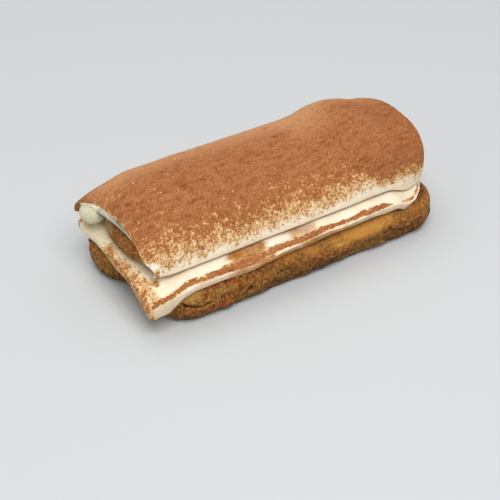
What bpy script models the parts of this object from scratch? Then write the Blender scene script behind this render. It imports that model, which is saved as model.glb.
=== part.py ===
"""A single portion of tiramisu, as a set of closed solids.

Two soaked finger biscuits lie side by side. A slab of mascarpone cream lies on them, and one broad
biscuit lies on the slab. A thick blanket of cream is draped over that biscuit. The blanket's end
at -X stands open like a tunnel over the broad biscuit, with a round fold of cream in its far side.

X runs along the biscuits, -Y is the long side with the blanket's straight lip, and Z is up.
The flat undersides of the two lower biscuits lie on Z = 0. Lengths are in metres.
"""

from dataclasses import dataclass
from math import acos, atan2, cos, pi, radians, sin

import bmesh
import bpy
from mathutils import Matrix, Vector, noise

MM = 0.001

# Heights of the stack, from the surface that it rests on, and the gap between its layers.
FINGER_HEIGHT = 14.2 * MM
FINGER_GIRTH = 6.6 * MM
SLAB_TOP = 18 * MM
CLEARANCE = 0.4 * MM

# A loaf's underside is rounded off by this factor deeper than its foot, which cuts it flat.
FOOT_CUT = 1.3

# The crust of the finger biscuits: the size and height of its bumps, and of the cracks in it.
COARSE_BUMP = 9 * MM
FINE_BUMP = 4 * MM
BUMP_HEIGHT = 0.6 * MM
CRACK_SPACING = 6 * MM
CRACK_DEPTH = 0.7 * MM
CRACK_WIDTH = 0.2

# The slab of cream between the biscuits.
SLAB_LEFT = -59.5 * MM
SLAB_RIGHT = 52.2 * MM
SLAB_FRONT = -26.3 * MM
SLAB_BACK = 26 * MM
SLAB_THICKNESS = 3.5 * MM
SLAB_SIDE_BULGE = 0.4 * MM
# It hangs down this much between the two finger biscuits, over this half width.
VALLEY_DEPTH = 0.8 * MM
VALLEY_REACH = 8 * MM
# Its corners, seen from above, are superellipses: sharper at the end cut at -X.
CUT_END_SQUARENESS = 24
FAR_END_SQUARENESS = 5
# Its far corner at the cut end is drawn in a little.
BACK_CORNER_PULL = 1.3 * MM

# The crest of the blanket as it runs along the portion, as (X, Z) in millimetres.
BLANKET_CREST = (
    (-64, 24.5),
    (-59, 28.9),
    (-54, 33),
    (-49, 35.2),
    (-43, 36.5),
    (-35, 36.6),
    (-25, 36.8),
    (-5, 35.6),
    (11, 35.3),
    (17, 35.2),
    (22, 36.4),
    (27, 38.8),
    (32, 39.6),
    (38, 38.4),
    (46, 35.1),
    (60, 34.4),
)
# The open end is cut off square at this X. Its far corner is drawn out, by this share at its
# foot, and its lip is drawn in.
OPEN_END = -56.2 * MM
TIP_REACH = 5.5 * MM
TIP_FOOT_SHARE = 0.4
LIP_RETREAT = 3.2 * MM
# The cream left over the hollow of the open end.
COVER_THICKNESS = 1.8 * MM
# The front lip stands off the slab in one wave near +X.
LIP_WAVE = 0.9 * MM
# Toward the open end the blanket gets narrower and its section more pointed.
END_TAPER = 0.06
END_POINTEDNESS = 0.4
# Over the bump at +X the section is squarer.
BUMP_SQUARENESS = 0.3
# Its crown leans toward +Y, but at the bump a little toward -Y.
CROWN_LEAN = 3 * MM
BUMP_LEAN = -1 * MM
# Near +X the lip sags by this share of how far the slab under it has sunk.
LIP_SAG = 0.8

# The fold of cream in the far side of the open end is a rounded lump.
FOLD_CENTRE = Vector((-58.2, 16.1, 24.2)) * MM
FOLD_RADII = Vector((4.7, 4.5, 3.7)) * MM

CREAM_COLOUR = (0.88, 0.82, 0.66, 1)
DUSTED_COLOUR = (0.45, 0.19, 0.075, 1)
CRUST_COLOUR = (0.42, 0.2, 0.06, 1)
SOAKED_COLOUR = (0.2, 0.09, 0.03, 1)


def smooth(low, high, value):
    """Goes smoothly from 0 at low to 1 at high, where high may be the smaller of the two."""
    share = min(1.0, max(0.0, (value - low) / (high - low)))
    return share * share * (3 - 2 * share)


def signed_power(value, exponent):
    return abs(value) ** exponent * (1 if value >= 0 else -1)


def quarter_round(share, exponent):
    """The height of a superellipse's quarter, from 1 at share 0 to 0 at share 1."""
    return max(0.0, 1 - min(1.0, share) ** exponent) ** (1 / exponent)


def between(points, x):
    """A smooth curve through (x, value) points."""
    index = 1
    while index < len(points) - 2 and x > points[index][0]:
        index += 1
    (x0, v0), (x1, v1) = points[index - 1], points[index]
    before = points[max(index - 2, 0)]
    after = points[min(index + 1, len(points) - 1)]
    span = x1 - x0
    slope0 = (v1 - before[1]) / (x1 - before[0])
    slope1 = (after[1] - v0) / (after[0] - x0)
    t = min(1.0, max(0.0, (x - x0) / span))
    rise = v0 * (1 + 2 * t) * (1 - t) ** 2 + v1 * t * t * (3 - 2 * t)
    return rise + span * (slope0 * t * (1 - t) ** 2 - slope1 * t * t * (1 - t))


@dataclass(frozen=True)
class Swell:
    """A change of height that sets in along X, along Y or along both, in millimetres.

    Each ramp is an axis, the place where the change is nothing and the place where it is full.
    """

    height: float
    ramps: tuple

    def at(self, x, y):
        amount = self.height * MM
        for axis, nothing, full in self.ramps:
            amount *= smooth(nothing * MM, full * MM, x if axis == "X" else y)
        return amount


FRONT_EDGE = ("Y", -19.5, -26.3)
SLAB_TOP_SWELLS = (
    # The front edge is rounded off, and has sunk between two bulges of the biscuit.
    Swell(-1.1, (FRONT_EDGE,)),
    Swell(-1.2, (FRONT_EDGE, ("X", -38, -25), ("X", -9, -20))),
    Swell(-0.5, (FRONT_EDGE, ("X", -30, -38))),
    # The corner under the blanket's lip at +X hangs down.
    Swell(-3.2, (("X", 35, 44), ("Y", -13, -22))),
    # The cut end droops, most at its front corner.
    Swell(-1.4, (("X", -56, -60),)),
    Swell(-2.3, (("X", -42, -54), ("Y", -12, -22))),
)
SLAB_THICKNESS_SWELLS = (
    Swell(-0.7, (FRONT_EDGE, ("X", -52, -40))),
    Swell(1.2, (FRONT_EDGE, ("X", 36, 44))),
    Swell(-0.7, (FRONT_EDGE, ("X", -23, -17), ("X", -1, -7))),
    Swell(-0.7, (FRONT_EDGE, ("X", 2, 9), ("X", 32, 25))),
    # The free corner past the front finger's end ends in a thick drop.
    Swell(2.2, (("X", -47, -54), ("Y", -8, -25))),
)


@dataclass(frozen=True)
class Loaf:
    """A long body with rounded ends, an arched section and a flat foot."""

    start: float
    end: float
    middle: float
    half_width: float
    foot: float
    girth: float  # the height at which it is widest
    nose: float  # the length of each rounded end, seen from above
    crown: float = 0.0  # the rise of its top above the girth
    plan: float = 2.1  # the superellipse exponent of its ends, seen from above
    fall: float = 2.1  # the same, seen from the side
    arch: float = 2.3  # the same, of its section
    pinch: float = 0.0  # the share by which its waist is narrower

    @property
    def centre(self):
        return (self.start + self.end) / 2

    @property
    def straight(self):
        return (self.end - self.start) / 2 - self.nose

    def past(self, x):
        """How far x is into a rounded end: 0 where the end begins and 1 at its tip."""
        return min(1.0, max(0.0, abs(x - self.centre) - self.straight) / self.nose)

    def width_at(self, x):
        along = (x - self.centre) / (self.straight + self.nose)
        waist = 1 - self.pinch * cos(along * pi / 2) ** 2
        return self.half_width * waist * quarter_round(self.past(x), self.plan)

    def rise_at(self, x):
        return self.crown * quarter_round(self.past(x), self.fall)

    def arch_at(self, x):
        return self.arch

    def lean_at(self, x):
        return 0.0

    def top(self, x, y):
        """The height of its upper surface over a point, or that of its foot beside it."""
        reach = self.width_at(x)
        aside = abs(y - self.middle) / reach if reach > 0 else 1.0
        if aside >= 1:
            return self.foot
        return self.girth + self.rise_at(x) * quarter_round(aside, self.arch)

    def place(self, x, angle):
        """The point of its surface at x, with the angle going round the section from +Y up."""
        aside = signed_power(cos(angle), 2 / self.arch_at(x))
        rise = signed_power(sin(angle), 2 / self.arch_at(x))
        y = self.middle + self.width_at(x) * aside
        if rise > 0:
            y += self.lean_at(x) * rise
            return Vector((x, y, self.girth + self.rise_at(x) * rise))
        depth = (self.girth - self.foot) * quarter_round(self.past(x), self.fall)
        return Vector((x, y, max(self.foot, self.girth + FOOT_CUT * depth * rise)))


@dataclass(frozen=True)
class Blanket(Loaf):
    """The draped cream, or the hollow under it: a loaf that follows the uneven crest."""

    slope: float = 27 * MM  # the length of the slope down to its end at +X
    cover: float = 0.0  # how far it lies under the crest

    def near_open_end(self, x):
        return smooth(-44 * MM, -60 * MM, x)

    def rise_at(self, x):
        crest = between(BLANKET_CREST, x / MM) * MM - self.cover - self.girth
        down = min(1.0, max(0.0, x - self.end + self.slope) / self.slope)
        return crest * quarter_round(down, self.fall)

    def width_at(self, x):
        return super().width_at(x) * (1 - END_TAPER * self.near_open_end(x))

    def arch_at(self, x):
        over_bump = smooth(10 * MM, 34 * MM, x)
        return self.arch + BUMP_SQUARENESS * over_bump - END_POINTEDNESS * self.near_open_end(x)

    def lean_at(self, x):
        over_bump = smooth(10 * MM, 40 * MM, x)
        return CROWN_LEAN * (1 - over_bump) + BUMP_LEAN * over_bump


FINGER_FORM = {
    "foot": 0,
    "girth": FINGER_GIRTH,
    "crown": FINGER_HEIGHT - FINGER_GIRTH,
    "plan": 2.2,
    "fall": 2.6,
    "arch": 2.9,
    "pinch": 0.04,
}
FINGER_FRONT = Loaf(
    start=-53 * MM,
    end=56 * MM,
    middle=-13.7 * MM,
    half_width=13.2 * MM,
    nose=13.5 * MM,
    **FINGER_FORM,
)
FINGER_BACK = Loaf(
    start=-60.6 * MM,
    end=50.5 * MM,
    middle=14.6 * MM,
    half_width=12.9 * MM,
    nose=13 * MM,
    **FINGER_FORM,
)
BROAD = Loaf(
    start=-57.8 * MM,
    end=49 * MM,
    middle=1.4 * MM,
    half_width=19.5 * MM,
    foot=SLAB_TOP + CLEARANCE,
    girth=SLAB_TOP + 3 * MM,
    crown=9.5 * MM,
    nose=18 * MM,
    plan=2.4,
    fall=2.4,
)
BLANKET = Blanket(
    start=-80 * MM,
    end=57.6 * MM,
    middle=1.8 * MM,
    half_width=22.8 * MM,
    foot=SLAB_TOP,
    girth=SLAB_TOP + 1.3 * MM,
    nose=17.2 * MM,
    plan=2.8,
    fall=5,
)
HOLLOW = Blanket(
    start=-80 * MM,
    end=-44 * MM,
    middle=1.8 * MM,
    half_width=21.4 * MM,
    foot=10 * MM,
    girth=SLAB_TOP + 1 * MM,
    nose=9 * MM,
    slope=9 * MM,
    cover=COVER_THICKNESS,
)


def slab_top(x, y):
    return SLAB_TOP + sum(swell.at(x, y) for swell in SLAB_TOP_SWELLS)


def slab_foot(x, y):
    """The slab's underside, which lies on the two finger biscuits and hangs free beside them."""
    thickness = SLAB_THICKNESS + sum(swell.at(x, y) for swell in SLAB_THICKNESS_SWELLS)
    thickness += VALLEY_DEPTH * smooth(VALLEY_REACH, VALLEY_REACH / 4, abs(y))
    bed = max(FINGER_FRONT.top(x, y), FINGER_BACK.top(x, y)) + CLEARANCE
    return max(slab_top(x, y) - thickness, bed)


def slab_plan(across, deep):
    """The slab's X and Y for a place from -1 to 1 along and across it."""
    squareness = FAR_END_SQUARENESS if across > 0 else CUT_END_SQUARENESS
    size = max(abs(across), abs(deep))
    if size > 0:
        norm = (abs(across) ** squareness + abs(deep) ** squareness) ** (1 / squareness)
        across, deep = across * size / norm, deep * size / norm
    x = (SLAB_LEFT + SLAB_RIGHT) / 2 + (SLAB_RIGHT - SLAB_LEFT) / 2 * across
    y = (SLAB_FRONT + SLAB_BACK) / 2 + (SLAB_BACK - SLAB_FRONT) / 2 * deep
    x -= BACK_CORNER_PULL * smooth(0.8, 1, -across) * smooth(12 * MM, 22 * MM, y)
    # The two long edges wander a little.
    wave = 0.35 * MM * sin(x / (9 * MM)) + 0.25 * MM * sin(x / (4.3 * MM) + 1)
    return x, y + wave * smooth(0.6, 1, abs(deep))


def crust_relief(point):
    """How far a finger's crust stands out at a point: soft bumps cut by cracks along X."""
    coarse = noise.noise(point / COARSE_BUMP)
    fine = noise.noise(point / FINE_BUMP + Vector((7, 3, 1)))
    seam = abs(noise.noise(Vector((point.x / 2, point.y, point.z)) / CRACK_SPACING))
    crack = 1 - smooth(0, CRACK_WIDTH, seam)
    return BUMP_HEIGHT * (coarse + fine) - CRACK_DEPTH * crack


def loaf_shape(loaf, around, along):
    """The loaf as a bmesh: a sphere with its poles at the tips, drawn out to the loaf's form."""
    shape = bmesh.new()
    poles_on_x = Matrix.Rotation(radians(90), 4, "Y")
    bmesh.ops.create_uvsphere(
        shape, u_segments=around, v_segments=along, radius=1, matrix=poles_on_x
    )
    arc = loaf.nose * pi / 2
    for vert in shape.verts:
        unit = vert.co.normalized()
        run = (1 - acos(max(-1, min(1, unit.x))) / (pi / 2)) * (loaf.straight + arc)
        turn = max(0.0, abs(run) - loaf.straight) / loaf.nose
        reach = min(abs(run), loaf.straight) + loaf.nose * sin(turn)
        x = loaf.centre + (reach if run > 0 else -reach)
        vert.co = loaf.place(x, atan2(unit.z, unit.y))
    return shape


def push_out(shape, distance_at):
    """Moves each point of the bmesh along its normal by the distance for its place."""
    shape.normal_update()
    for vert, normal in [(vert, vert.normal.copy()) for vert in shape.verts]:
        vert.co += normal * distance_at(vert.co)


def finish(name, shape, colour, roughness):
    """Makes an object of that name from the bmesh, with its own material."""
    bmesh.ops.recalc_face_normals(shape, faces=shape.faces)
    mesh = bpy.data.meshes.new(name)
    shape.to_mesh(mesh)
    shape.free()
    mesh.shade_smooth()
    mesh.set_sharp_from_angle(angle=radians(50))
    material = bpy.data.materials.new(name)
    material.use_nodes = True
    surface = material.node_tree.nodes["Principled BSDF"]
    surface.inputs["Base Color"].default_value = colour
    surface.inputs["Roughness"].default_value = roughness
    surface.inputs["Metallic"].default_value = 0
    mesh.materials.append(material)
    return bpy.data.objects.new(name, mesh)


def finger_biscuit(name, loaf, parts):
    shape = loaf_shape(loaf, around=28, along=46)

    def relief(point):
        # The crust is smooth under the cream, on the flat foot and at the very tips.
        bare = smooth(12.5 * MM, 10 * MM, point.z) * smooth(0.2 * MM, 2 * MM, point.z)
        return crust_relief(point) * bare * smooth(1, 0.9, loaf.past(point.x))

    push_out(shape, relief)
    for vert in shape.verts:
        vert.co.z = max(0, vert.co.z)
    parts.objects.link(finish(name, shape, CRUST_COLOUR, 0.75))


def broad_biscuit(parts):
    shape = loaf_shape(BROAD, around=20, along=28)
    parts.objects.link(finish("biscuit_upper", shape, SOAKED_COLOUR, 0.7))


def cream_slab(parts):
    shape = bmesh.new()
    bmesh.ops.create_cube(shape, size=2)
    for axis, cuts in enumerate((43, 19, 1)):
        along = [
            edge
            for edge in shape.edges
            if abs(edge.verts[0].co[axis] - edge.verts[1].co[axis]) > 0.5
        ]
        bmesh.ops.subdivide_edges(shape, edges=along, cuts=cuts, use_grid_fill=True)
    for vert in shape.verts:
        across, deep, level = vert.co
        x, y = slab_plan(across, deep)
        low, high = slab_foot(x, y), slab_top(x, y)
        # The cut sides bulge between their upper and lower edges.
        bulge = SLAB_SIDE_BULGE * (1 - level * level)
        y += bulge * signed_power(deep, 12)
        x += bulge * signed_power(across, 12)
        vert.co = Vector((x, y, low + (high - low) * (level + 1) / 2))
    parts.objects.link(finish("cream_middle", shape, CREAM_COLOUR, 0.45))


def combine(thing, shape, name, operation, cutters):
    """Joins a closed shape to an object, or takes it out of the object."""
    cutter = finish(name, shape, CREAM_COLOUR, 0.5)
    cutter.hide_render = True
    cutter.display_type = "WIRE"
    cutters.objects.link(cutter)
    boolean = thing.modifiers.new(name, "BOOLEAN")
    boolean.operation = operation
    boolean.object = cutter


def open_end_shift(x, y, z):
    """How far the cream near the open end is drawn along X from a square cut."""
    tip = -TIP_REACH * smooth(3 * MM, 21 * MM, y)
    tip *= TIP_FOOT_SHARE + (1 - TIP_FOOT_SHARE) * smooth(18.5 * MM, 21.5 * MM, z)
    lip = LIP_RETREAT * smooth(-16 * MM, -21 * MM, y)
    return (tip + lip) * smooth(-46 * MM, OPEN_END, x)


def lip_lift(x, y):
    wave = smooth(20 * MM, 29 * MM, x) * smooth(39 * MM, 32 * MM, x)
    return LIP_WAVE * wave * smooth(-10 * MM, -21 * MM, y)


def lip_sag(x, y, z):
    sunk = (SLAB_TOP - slab_top(x, y)) * smooth(30 * MM, 38 * MM, x)
    return LIP_SAG * sunk * smooth(28 * MM, BLANKET.girth, z)


def cream_fold():
    """The rounded lump of cream at the far side of the open end."""
    fold = bmesh.new()
    placed = Matrix.Translation(FOLD_CENTRE) @ Matrix.Diagonal(FOLD_RADII).to_4x4()
    bmesh.ops.create_uvsphere(fold, u_segments=16, v_segments=10, radius=1, matrix=placed)
    return fold


def biscuit_bed():
    """The room that the broad biscuit takes up in the blanket, open downward."""
    bed = loaf_shape(BROAD, around=20, along=28)
    push_out(bed, lambda point: 1.2 * CLEARANCE)
    for vert in bed.verts:
        if vert.co.z < BROAD.foot:
            vert.co.z = HOLLOW.foot
    return bed


def cream_blanket(parts, cutters):
    shape = loaf_shape(BLANKET, around=40, along=56)
    everything = shape.verts[:] + shape.edges[:] + shape.faces[:]
    cut = bmesh.ops.bisect_plane(
        shape, geom=everything, plane_co=(OPEN_END, 0, 0), plane_no=(1, 0, 0), clear_inner=True
    )
    rim = [item for item in cut["geom_cut"] if isinstance(item, bmesh.types.BMEdge)]
    bmesh.ops.edgeloop_fill(shape, edges=rim)
    for vert in shape.verts:
        x, y, z = vert.co
        if z < BLANKET.girth - 0.01 * MM:
            vert.co.z = slab_top(x, y) + CLEARANCE + lip_lift(x, y)
        else:
            vert.co.z -= lip_sag(x, y, z)
        vert.co.x += open_end_shift(x, y, vert.co.z)
    blanket = finish("cream_top", shape, DUSTED_COLOUR, 0.9)
    parts.objects.link(blanket)
    hollow = loaf_shape(HOLLOW, around=32, along=16)
    combine(blanket, hollow, "hollow", "DIFFERENCE", cutters)
    combine(blanket, cream_fold(), "fold", "UNION", cutters)
    combine(blanket, biscuit_bed(), "biscuit_bed", "DIFFERENCE", cutters)


def put_on_origin(parts, cutters):
    """Moves everything so that the middle of the portion's foot is at the origin."""
    graph = bpy.context.evaluated_depsgraph_get()
    corners = [corner for thing in parts.objects for corner in thing.evaluated_get(graph).bound_box]
    middle_x = (min(corner[0] for corner in corners) + max(corner[0] for corner in corners)) / 2
    middle_y = (min(corner[1] for corner in corners) + max(corner[1] for corner in corners)) / 2
    for thing in parts.objects[:] + cutters.objects[:]:
        thing.location = (-middle_x, -middle_y, 0)


def main():
    for thing in list(bpy.data.objects):
        bpy.data.objects.remove(thing)
    parts = bpy.data.collections.new("tiramisu")
    cutters = bpy.data.collections.new("cutters")
    bpy.context.scene.collection.children.link(parts)
    bpy.context.scene.collection.children.link(cutters)
    finger_biscuit("biscuit_lower_front", FINGER_FRONT, parts)
    finger_biscuit("biscuit_lower_back", FINGER_BACK, parts)
    cream_slab(parts)
    broad_biscuit(parts)
    cream_blanket(parts, cutters)
    put_on_origin(parts, cutters)


if __name__ == "__main__":
    main()
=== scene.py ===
"""Dresses the solids of a single tiramisu portion as biscuit, mascarpone cream and cocoa powder.

The five solids are replaced by fine meshes of the same forms. The forms are worked out in the
design's own coordinates, in which X runs along the biscuits, -Y is the side with the cream ledge
and Z is up from the surface that the portion rests on. The last step of each piece moves it by
SHIFT to where the solids are.
"""

from dataclasses import dataclass
from math import acos, atan2, copysign, cos, pi, radians, sin, tan
from random import Random

import bmesh
import bpy
from bpy.props import FloatProperty, FloatVectorProperty, IntProperty, PointerProperty
from mathutils import Matrix, Vector, noise
from mathutils.bvhtree import BVHTree


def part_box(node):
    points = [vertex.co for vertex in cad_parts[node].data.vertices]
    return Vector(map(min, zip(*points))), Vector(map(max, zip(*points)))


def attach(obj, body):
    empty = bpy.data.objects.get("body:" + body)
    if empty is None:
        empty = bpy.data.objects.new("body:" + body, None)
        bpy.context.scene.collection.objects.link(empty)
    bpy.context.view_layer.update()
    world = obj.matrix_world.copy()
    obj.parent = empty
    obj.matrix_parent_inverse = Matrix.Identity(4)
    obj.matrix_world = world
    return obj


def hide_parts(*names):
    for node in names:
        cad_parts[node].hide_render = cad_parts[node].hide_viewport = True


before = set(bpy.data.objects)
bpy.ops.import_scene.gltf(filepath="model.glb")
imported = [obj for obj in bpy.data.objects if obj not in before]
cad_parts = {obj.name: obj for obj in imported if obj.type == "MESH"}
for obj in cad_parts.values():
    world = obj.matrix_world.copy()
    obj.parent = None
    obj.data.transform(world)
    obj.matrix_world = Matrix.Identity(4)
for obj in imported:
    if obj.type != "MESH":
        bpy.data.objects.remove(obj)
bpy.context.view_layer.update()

bl_info = {
    "name": "Tiramisu Portion",
    "version": (1, 0, 0),
    "blender": (4, 5, 0),
    "location": "3D Viewport > Sidebar > Tiramisu",
    "description": "Dresses a tiramisu portion as biscuit, cream and cocoa",
    "category": "Add Mesh",
}

MM = 0.001

# Heights of the stack, as in the solids.
FINGER_HEIGHT = 14.2 * MM
FINGER_GIRTH = 6.6 * MM
SLAB_TOP = 18 * MM
CLEARANCE = 0.4 * MM
BED_ROOM = 1.2 * CLEARANCE
# How much deeper the round underside would reach than the flat foot that cuts it off.
FOOT_CUT = 1.3

# The slab of cream between the biscuits.
SLAB_LEFT = -59.5 * MM
SLAB_RIGHT = 52.2 * MM
SLAB_FRONT = -26.3 * MM
SLAB_BACK = 26 * MM
SLAB_THICKNESS = 3.5 * MM
SLAB_SIDE_BULGE = 0.4 * MM
VALLEY_DEPTH = 0.8 * MM
VALLEY_REACH = 8 * MM
CUT_END_SQUARENESS = 24
FAR_END_SQUARENESS = 5
BACK_CORNER_PULL = 1.3 * MM

# The crest of the blanket along the portion, as (X, Z) in millimetres.
BLANKET_CREST = (
    (-64, 24.5), (-59, 28.9), (-54, 33), (-49, 35.2), (-43, 36.5), (-35, 36.6), (-25, 36.8),
    (-5, 35.6), (11, 35.3), (17, 35.2), (22, 36.4), (27, 38.8), (32, 39.6), (38, 38.4),
    (46, 35.1), (60, 34.4),
)
OPEN_END = -56.2 * MM
TIP_REACH = 5.5 * MM
TIP_FOOT_SHARE = 0.4
LIP_RETREAT = 3.2 * MM
COVER_THICKNESS = 1.8 * MM
LIP_WAVE = 0.9 * MM
END_TAPER = 0.06
END_POINTEDNESS = 0.4
BUMP_SQUARENESS = 0.3
CROWN_LEAN = 3 * MM
BUMP_LEAN = -1 * MM
LIP_SAG = 0.8

# How far cocoa spills from the blanket's outer side onto the cut face of its open end.
CUT_DUSTING = 0.38

# The rounded fold of cream in the far side of the open end.
FOLD_CENTRE = Vector((-58.2, 16.1, 24.2)) * MM
FOLD_RADII = Vector((4.7, 4.5, 3.7)) * MM

# The height at which cocoa hides half of the blanket, as (X, Z) in millimetres, and how far
# above and below it the dusting thickens and thins out, as (X, reach) in millimetres.
DUST_HALF = (
    (-60, 24), (-52, 24.4), (-45, 25.8), (-36, 24.6), (-29, 25.1), (-22, 24.5), (-11, 24.9),
    (-3, 25.3), (7, 24.7), (14, 25.2), (20, 25.1), (26, 26.2), (33, 23), (38, 22.7),
    (44, 22.9), (49, 21.5), (53, 20.8), (60, 19.8),
)
DUST_REACH = (
    (-60, 5.5), (-45, 5.5), (-35, 5.2), (-20, 4.9), (10, 4.8), (20, 4.4), (27, 3.4),
    (33, 2.5), (43, 3), (60, 3.4),
)

# How golden the front biscuit's upper side is along X, as (X, share), with X in millimetres.
GOLDEN_PLACES = (
    (-53, 0.0), (-48, 0.7), (-42, 0.75), (-36, 0.35), (-29, 0.05), (-14, 0.05), (-8, 0.4),
    (0, 0.35), (7, 0.1), (13, 0.85), (30, 0.9), (33, 0.3), (38, 0.1), (56, 0.0),
)
# A fissure opens in the front biscuit's side, as (X, Z) in millimetres, and a round hole.
FISSURE = ((-49, 9.0), (-46, 7.9), (-43.5, 6.9), (-40, 7.1), (-37, 8.2))
FISSURE_WIDTH = 0.45
HOLE = (-23, 5.8)
HOLE_RADIUS = 1.1

# How wide the cocoa stripe along the ledge's edge is, as (X, width) in millimetres.
STRIPE_WIDTHS = (
    (-60, 1.6), (-50, 1.5), (-47, 1.8), (-40, 2.0), (-32, 2.3), (-26, 3.0), (-17, 2.8),
    (-11, 2.6), (-5, 2.4), (6, 2.1), (15, 1.7), (20, 1.9), (26, 2.1), (31, 1.8), (34, 0.4),
    (37, 0.0), (41, 0.9), (52, 1.1),
)
# How far the stripe stands back from the ledge's edge, as (X, distance) in millimetres.
STRIPE_SET_BACK = (
    (-60, 0.0), (-50, 0.0), (-46, 0.35), (-38, 0.2), (-24, 0.05), (-17, 0.45), (-11, 0.8),
    (-5, 0.2), (2, 0.05), (12, 0.45), (24, 0.15), (32, 0.1), (38, 0.4), (52, 0.4),
)


def srgb(red, green, blue):
    """A colour read off a screen from 0 to 255, as the linear values that shaders take."""
    shares = (red / 255, green / 255, blue / 255)
    return tuple(s / 12.92 if s <= 0.04045 else ((s + 0.055) / 1.055) ** 2.4 for s in shares)


# Tints that break up the main colours, which the looks below hold. Some of them are painted
# shade and one a painted highlight, as said where they are laid.
REDDISH_CRUST = srgb(166, 90, 46)
OLIVE_CRUST = srgb(136, 106, 50)
BURNT_CRUST = srgb(94, 54, 22)
TOASTED_CRUST = srgb(160, 104, 42)
OLIVE_GOLD = srgb(172, 144, 72)
SHADED_CRUST = srgb(84, 52, 22)
PALE_CRUMB = srgb(176, 148, 98)
PALE_SPECK = srgb(218, 164, 92)
SOAKED_MOTTLE = srgb(138, 82, 34)
SOAKED_SPECK = srgb(206, 152, 92)
SHADED_CREAM_ON_CRUMB = srgb(186, 160, 112)
CUT_END_CREAM = srgb(250, 234, 186)
STAIN_BLOTCH = srgb(160, 100, 42)
SHADED_LIP_CREAM = srgb(220, 198, 154)
INNER_CREAM = srgb(176, 146, 96)
SHADED_FOLD_CREAM = srgb(208, 206, 173)
FOLD_DOT = srgb(150, 146, 118)
TINGED_CREAM = srgb(242, 208, 156)
BARE_DOT = srgb(232, 170, 128)
SHEEN_COCOA = srgb(222, 166, 118)
WET_COCOA = srgb(170, 101, 50)
COCOA_STREAK = srgb(124, 66, 30)


def colour_property(name, description, red, green, blue):
    return FloatVectorProperty(
        name=name,
        description=description,
        subtype="COLOR",
        size=3,
        min=0,
        max=1,
        default=srgb(red, green, blue),
    )


def length_property(name, description, millimetres):
    return FloatProperty(
        name=name,
        description=description,
        unit="LENGTH",
        subtype="DISTANCE",
        min=0,
        precision=5,
        default=millimetres * MM,
    )


class BiscuitLook(bpy.types.PropertyGroup):
    """The crust of the lower biscuits and the soaked crumb of the upper one."""

    golden: colour_property("Golden Crust", "Smooth, dry crust high on the side", 208, 146, 66)
    brown: colour_property("Brown Crust", "Rough, baked crust halfway down", 146, 89, 38)
    # This colour darkens the crust toward its foot, partly as the crumb's own grey and partly as
    # painted shade.
    rim: colour_property("Rim", "Greyer crumb of the lower rim", 98, 74, 42)
    # Besides dark specks, this colour paints shade into cracks and pores by their depth.
    dark_and_crack_shade: colour_property("Crack", "Depths of the cracks and pores", 66, 38, 15)
    soaked: colour_property("Soaked Crumb", "Crumb of the upper biscuit, full of coffee", 160, 99, 43)
    # Besides dark grain, this colour paints shade into pores by their depth.
    soaked_dark_and_pore_shade: colour_property("Soaked Pores", "Pores of the upper biscuit", 112, 66, 28)
    crag: length_property("Crag Height", "Height of the rough crust's crags", 0.2)
    crack: length_property("Crack Depth", "Depth of the long cracks in the crust", 0.6)
    pore: length_property("Pore Depth", "Depth of the round pores", 0.4)


class CreamLook(bpy.types.PropertyGroup):
    """The mascarpone cream of the slab and of the blanket."""

    ivory: colour_property("Ivory", "Clean, fresh cream", 255, 244, 222)
    shade: colour_property("Warm Ivory", "Cream that has taken up a little coffee", 234, 209, 174)
    # This colour also tans the slab's front face, partly as painted shade.
    stain: colour_property("Stain", "Cream soaked with coffee on the ledge", 190, 132, 66)
    wave: length_property("Wave Height", "Height of the cream's slow undulations", 0.35)
    smear: length_property("Smear Height", "Height of the spreading knife's marks", 0.07)


class CocoaLook(bpy.types.PropertyGroup):
    """The cocoa powder on the cream."""

    light: colour_property("Light Cocoa", "Loose, dry powder", 187, 123, 80)
    deep: colour_property("Deep Cocoa", "Thick or damp powder", 155, 91, 49)
    thin: colour_property("Thin Cocoa", "Powder so thin that the cream shines through", 222, 168, 108)
    grain: length_property("Grain Height", "Height of the powder's grain", 0.1)
    clumps: IntProperty(
        name="Clumps",
        description="Number of tiny clumps of powder where the dusting is thin",
        min=0,
        default=1500,
    )


class StageLook(bpy.types.PropertyGroup):
    """The floor and the lights."""

    floor: colour_property("Floor", "The plain floor", 205, 207, 208)
    key: FloatProperty(
        name="Key Light", description="Power of the key light", unit="POWER", min=0, default=1.3
    )
    front: FloatProperty(
        name="Front Light", description="Power of the front light", unit="POWER", min=0, default=6.2
    )
    room: FloatProperty(
        name="Room Light", description="Strength of the light all round", min=0, default=0.48
    )


def smooth(low, high, value):
    """Goes smoothly from 0 at low to 1 at high, where high may be the smaller of the two."""
    share = min(1.0, max(0.0, (value - low) / (high - low)))
    return share * share * (3 - 2 * share)


def band(rise, fall, value):
    """1 between two ramps and 0 outside them. Each ramp goes from 0 to 1."""
    return smooth(*rise, value) * smooth(*fall, value)


def distance(first, second, centre):
    return Vector((first - centre[0], second - centre[1])).length


def signed_power(value, exponent):
    return copysign(abs(value) ** exponent, value)


def quarter_round(share, exponent):
    """The height of a superellipse's quarter, from 1 at share 0 to 0 at share 1."""
    return max(0.0, 1 - min(1.0, share) ** exponent) ** (1 / exponent)


def between(points, x):
    """A smooth curve through (x, value) points."""
    index = 1
    while index < len(points) - 2 and x > points[index][0]:
        index += 1
    (x0, v0), (x1, v1) = points[index - 1], points[index]
    before = points[max(index - 2, 0)]
    after = points[min(index + 1, len(points) - 1)]
    span = x1 - x0
    slope0 = (v1 - before[1]) / (x1 - before[0])
    slope1 = (after[1] - v0) / (after[0] - x0)
    t = min(1.0, max(0.0, (x - x0) / span))
    rise = v0 * (1 + 2 * t) * (1 - t) ** 2 + v1 * t * t * (3 - 2 * t)
    return rise + span * (slope0 * t * (1 - t) ** 2 - slope1 * t * t * (1 - t))


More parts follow.
